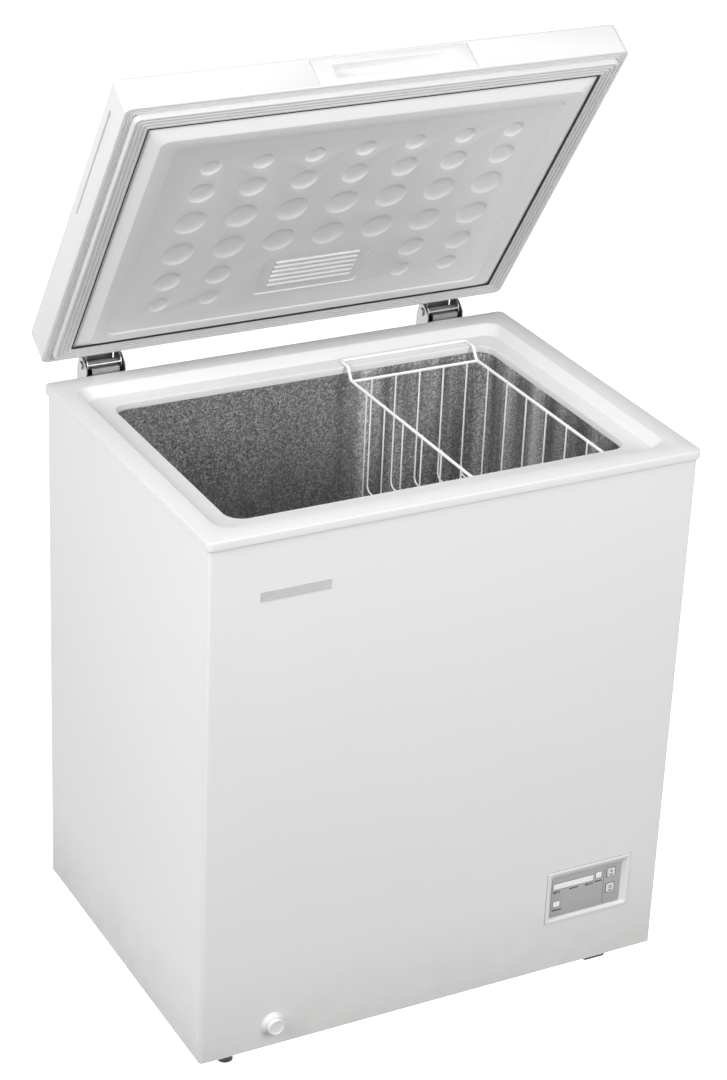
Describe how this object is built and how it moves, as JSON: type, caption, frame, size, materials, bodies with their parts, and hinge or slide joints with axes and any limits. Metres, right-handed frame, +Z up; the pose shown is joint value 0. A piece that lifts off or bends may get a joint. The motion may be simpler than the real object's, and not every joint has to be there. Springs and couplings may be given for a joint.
{
  "type": "chest freezer",
  "caption": "Chest freezer with a sprung hinged lid, dimpled lid liner, embossed metal tub, sliding wire basket, front control panel and drain plug.",
  "frame": {"origin": "on the floor under the middle of the cabinet", "axes": "+Z up, +X to the right, -Y towards the front, where the control panel is; the lid is drawn open"},
  "size_m": [0.713, 0.586, 1.2838],
  "materials": {
    "white_paint": "smooth white stove enamel",
    "white_plastic": "white moulded plastic",
    "panel_plastic": "light grey formed sheet",
    "gasket": "grey soft vinyl",
    "foam": "polyurethane foam",
    "embossed": "stucco embossed sheet",
    "zinc": "galvanised sheet",
    "steel": "zinc plated steel",
    "copper": "drawn copper tube",
    "black_paint": "black enamel",
    "black_plastic": "black plastic",
    "grommet": "black rubber",
    "coated_wire": "white coated steel wire",
    "fascia": "grey printed plastic",
    "clear": "white translucent plastic",
    "board": "circuit board",
    "spring": "spring steel",
    "bright": "polished strip"
  },
  "bodies": {
    "cabinet": {"outer_wrapper": "white_paint", "back_panel": "white_paint", "base_pan": "zinc", "inner_liner": "embossed", "liner_seam": "embossed", "cabinet_foam": "foam", "top_rim": "white_plastic", "evaporator_coil": "copper", "condenser_coil": "zinc", "machine_cover": "zinc", "compressor": "black_paint", "compressor_grommets": "grommet", "relay_cover": "black_plastic", "filter_drier": "copper", "discharge_pipe": "copper", "suction_pipe": "copper", "rear_grille": "zinc", "cord_inlet": "black_plastic", "control_bezel": "white_plastic", "control_fascia": "fascia", "scale_window": "clear", "super_window": "clear", "running_window": "clear", "control_board": "board", "drain_spout": "white_plastic", "drain_tube": "white_plastic", "basket_rail": "white_plastic", "foot_front_right": "black_plastic", "foot_rear_left": "black_plastic", "foot_rear_right": "black_plastic", "badge_plate": "bright", "hinge_base_left": "steel", "hinge_pin_left": "steel", "hinge_screws_left": "steel", "hinge_spring_left": "spring", "hinge_base_right": "steel", "hinge_pin_right": "steel", "hinge_screws_right": "steel", "hinge_spring_right": "spring"},
    "lid": {"lid_shell": "white_paint", "lid_foam": "foam", "lid_panel": "panel_plastic", "lid_gasket": "gasket", "lid_trim": "white_plastic", "lid_handle": "white_plastic", "hinge_leaf_left": "steel", "cam_roller_left": "steel", "leaf_screws_left": "steel", "hinge_leaf_right": "steel", "cam_roller_right": "steel", "leaf_screws_right": "steel"},
    "basket": {"basket_frame": "coated_wire", "basket_wires": "coated_wire"},
    "set_button": {"set_button": "fascia"},
    "power_button": {"power_button": "fascia"},
    "drain_cap": {"drain_cap": "white_plastic"},
    "floor_plug": {"floor_plug": "white_plastic"},
    "plunger_left": {"plunger_left": "steel"},
    "plunger_right": {"plunger_right": "steel"},
    "foot_front_left": {"foot_front_left": "black_plastic"}
  },
  "joints": [
    {"name": "lid_hinge", "type": "hinge", "parent": "cabinet", "child": "lid", "pos_m": [0, 0.2846, 0.7993], "axis": [-1, 0, 0], "range_deg": [-56.9, 28]},
    {"name": "plunger_left_slide", "type": "slide", "parent": "cabinet", "child": "plunger_left", "axis": [0, 0, 1], "range_m": [-0.0096, 0.0048], "deforming": ["hinge_spring_left"]},
    {"name": "plunger_right_slide", "type": "slide", "parent": "cabinet", "child": "plunger_right", "axis": [0, 0, 1], "range_m": [-0.0096, 0.0048], "deforming": ["hinge_spring_right"]},
    {"name": "basket_slide", "type": "slide", "parent": "cabinet", "child": "basket", "axis": [1, 0, 0], "range_m": [-0.3, 0]},
    {"name": "set_button_press", "type": "slide", "parent": "cabinet", "child": "set_button", "axis": [0, 1, 0], "range_m": [0, 0.001], "stiffness_N_per_m": 400},
    {"name": "power_button_press", "type": "slide", "parent": "cabinet", "child": "power_button", "axis": [0, 1, 0], "range_m": [0, 0.001], "stiffness_N_per_m": 400},
    {"name": "drain_cap_pull", "type": "slide", "parent": "cabinet", "child": "drain_cap", "axis": [0, -1, 0], "range_m": [0, 0.03]},
    {"name": "floor_plug_lift", "type": "slide", "parent": "cabinet", "child": "floor_plug", "axis": [0, 0, 1], "range_m": [0, 0.04]},
    {"name": "foot_screw", "type": "hinge", "parent": "cabinet", "child": "foot_front_left", "pos_m": [-0.304, -0.236, 0.01], "axis": [0, 0, 1], "continuous": true}
  ],
  "couplings": [
    {"joint": "plunger_left_slide", "follows": "lid_hinge", "m_per_rad": 0.009565},
    {"joint": "plunger_right_slide", "follows": "lid_hinge", "m_per_rad": 0.009565}
  ]
}
